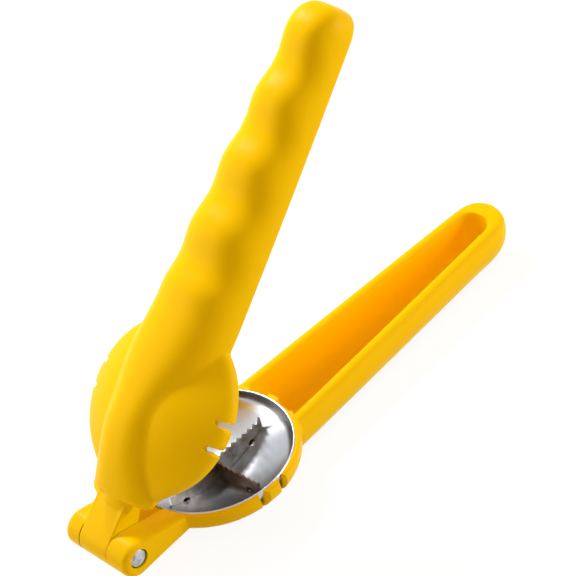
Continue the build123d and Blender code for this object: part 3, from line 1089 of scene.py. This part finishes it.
def stamped_sheet(name, bright, stained):
    """Duller sheet with fine grain, between a bright colour and that of its stains."""
    finish = new_finish(name)
    grain = finish.noise(scale=1500, detail=3.0, roughness=0.6)
    stain = finish.range(finish.noise(scale=250, detail=4.0, roughness=0.6), low=0.35, high=0.75)
    rough = blade_roughness + grain * grain_roughness + stain * stain_roughness
    relief = finish.bump(grain, strength=0.12, distance=0.0001)
    return finish.shine(finish.mix(stain, bright, stained), 1.0, rough, relief)


def turned_end(name):
    """Turned steel, mottled between two greys, and duller where it is darker."""
    finish = new_finish(name)
    blotch = finish.noise(scale=420, detail=4.0, roughness=0.65)
    mottle = finish.range(blotch, low=0.35, high=0.68)
    colour = finish.mix(mottle, pin_dark, pin_light)
    relief = finish.bump(blotch, strength=0.35, distance=0.0004)
    return finish.shine(colour, 1.0, pin_roughness - mottle * pin_polish, relief)


grey_steel = stamped_sheet("stamped_steel", bright=rgb(160, 156, 152), stained=rgb(104, 92, 80))
# painted shade: the crosswise blade is darker and browner for the shade that it reflects
shade_painted_blade_steel = stamped_sheet("shade_painted_blade", bright=rgb(132, 110, 92), stained=rgb(62, 44, 34))
dress(frame["nodes"]["lengthwise_blade"], grey_steel)
dress(frame["nodes"]["crosswise_blade"], shade_painted_blade_steel)
dress(frame["nodes"]["hinge_pin"], turned_end("turned_steel"))
print("materials", sorted(material.name for material in bpy.data.materials if material.users))

# %% [markdown]
# ## Floor and sky
# The photo's background is white, but a floor lit until it is white would bleach the object
# too. So the floor's own glow makes most of its white, and only for rays from the camera or in
# a reflection. Light that really bounces off it comes from pale grey paint. The sky does the
# same: white where it is seen, and a warmer, weaker light on the object.

# %% Floor and sky
floor_size = 3000.0
floor_glow = 0.9
pale_paint = rgb(228, 228, 228), rgb(234, 234, 234)
thin_paint = rgb(110, 114, 122), rgb(114, 118, 126)
sky_colour = (1.0, 0.8, 0.58, 1.0)
sky_strength = 0.43
white = (1, 1, 1, 1)


def white_floor(name):
    """Pale paint for light that bounces, and a thin dark paint plus the glow for rays that see it."""
    finish = new_finish(name)
    grain = finish.noise(scale=60)
    pale, thin = [finish.node("ShaderNodeBsdfDiffuse", None, {"Color": finish.mix(grain, *paint)})
                  for paint in (pale_paint, thin_paint)]
    glow = finish.node("ShaderNodeEmission", None, {"Color": white, "Strength": floor_glow})
    both = finish.node("ShaderNodeAddShader", None, {0: thin, 1: glow})
    return finish.surface(finish.choose(finish.seen(), pale, both))


def studio_sky(name):
    """White to the camera and in reflections, and a warmer, weaker light on the object."""
    finish = Finish(bpy.data.worlds.new(name), "ShaderNodeOutputWorld")
    light = finish.node("ShaderNodeBackground", None, {"Color": sky_colour, "Strength": sky_strength})
    backdrop = finish.node("ShaderNodeBackground", None, {"Color": white, "Strength": 1.0})
    return finish.surface(finish.choose(finish.seen(), light, backdrop))


corners = np.array([(-1, -1, 0), (1, -1, 0), (1, 1, 0), (-1, 1, 0)]) * floor_size * mm
floor_mesh = bpy.data.meshes.new("floor")
floor_mesh.from_pydata(corners.tolist(), [], [(0, 1, 2, 3)])
floor = link("floor", floor_mesh)
dress(floor, white_floor("floor_paint"))
bpy.context.scene.world = studio_sky("studio")
print("floor", 2 * floor_size * mm, "m wide")

# %% [markdown]
# ## Camera
# The photo was taken from above and from one side, with the camera a little rolled. Its angles
# and its distance come from fitting the jaw's round rim, both handles, the hinge and the pin to
# the photo. The lens then follows from how many pixels one millimetre covers at the hinge.

# %% Camera
azimuth, elevation, roll = radians(-33.578), radians(41.063), radians(-17.150)
camera_distance = 949.58
picture_side = 576
pixels_per_mm = 3.27148
aim_right, aim_up = 54.72, 77.0

toward = np.array([sin(azimuth) * cos(elevation), -cos(azimuth) * cos(elevation), sin(elevation)])
level_right = np.array([cos(azimuth), sin(azimuth), 0.0])
level_up = np.cross(toward, level_right)
right = level_right * cos(roll) + level_up * sin(roll)
up = level_up * cos(roll) - level_right * sin(roll)
eye = hinge + right * aim_right + up * aim_up + toward * camera_distance

lens = bpy.data.cameras.new("camera")
lens.sensor_width = 36.0
lens.lens = pixels_per_mm * camera_distance / picture_side * lens.sensor_width
lens.clip_start, lens.clip_end = 0.01, 20.0
camera = link("camera", lens)
turned_to = np.column_stack([right, up, toward, eye * mm])
camera.matrix_world = Matrix([*turned_to.tolist(), (0, 0, 0, 1)])
bpy.context.scene.camera = camera
bpy.context.scene.view_settings.view_transform = "Standard"
print("lens", round(lens.lens, 1), "mm, eye at", np.round(eye))

# %% [markdown]
# ## Lamps
# Every grip shows one pale spot on its crest, so one lamp does most of the work. Two of equal
# strength would give two spots each. It stands to the upper left, where the spots say that it is,
# and is small enough to make them bright. Two wide, weak lamps from the left and the right
# open the shadows.

# %% Lamps
object_middle = hinge + np.array([80.0, 0.0, 30.0])


def softbox(name, direction, distance, size, light):
    """A square lamp in that direction (right, up, toward the camera) from the object's middle, facing it.

    light is what a white surface that faces the lamp sends back, where 1 is white: its power is
    light * pi^2 * distance^2.
    """
    aim = direction[0] * right + direction[1] * up + direction[2] * toward
    aim = aim / np.linalg.norm(aim)
    lamp = bpy.data.lights.new(name, "AREA")
    lamp.size = size * mm
    lamp.energy = light * pi**2 * (distance * mm) ** 2
    holder = link(name, lamp)
    stand = Matrix.Translation((object_middle + aim * distance) * mm)
    holder.matrix_world = stand @ Vector(aim).to_track_quat("Z", "Y").to_matrix().to_4x4()
    print(name, "power", round(lamp.energy, 2), "W")


softbox("key_lamp", (-0.53, 0.85, 0.0), distance=560, size=125, light=0.75)
softbox("left_lamp", (-0.96, 0.15, 0.1), distance=900, size=700, light=0.36)
softbox("right_lamp", (0.9, 0.3, 0.25), distance=900, size=500, light=0.53)

# %% [markdown]
# ## Finish
# The look may not change the size.
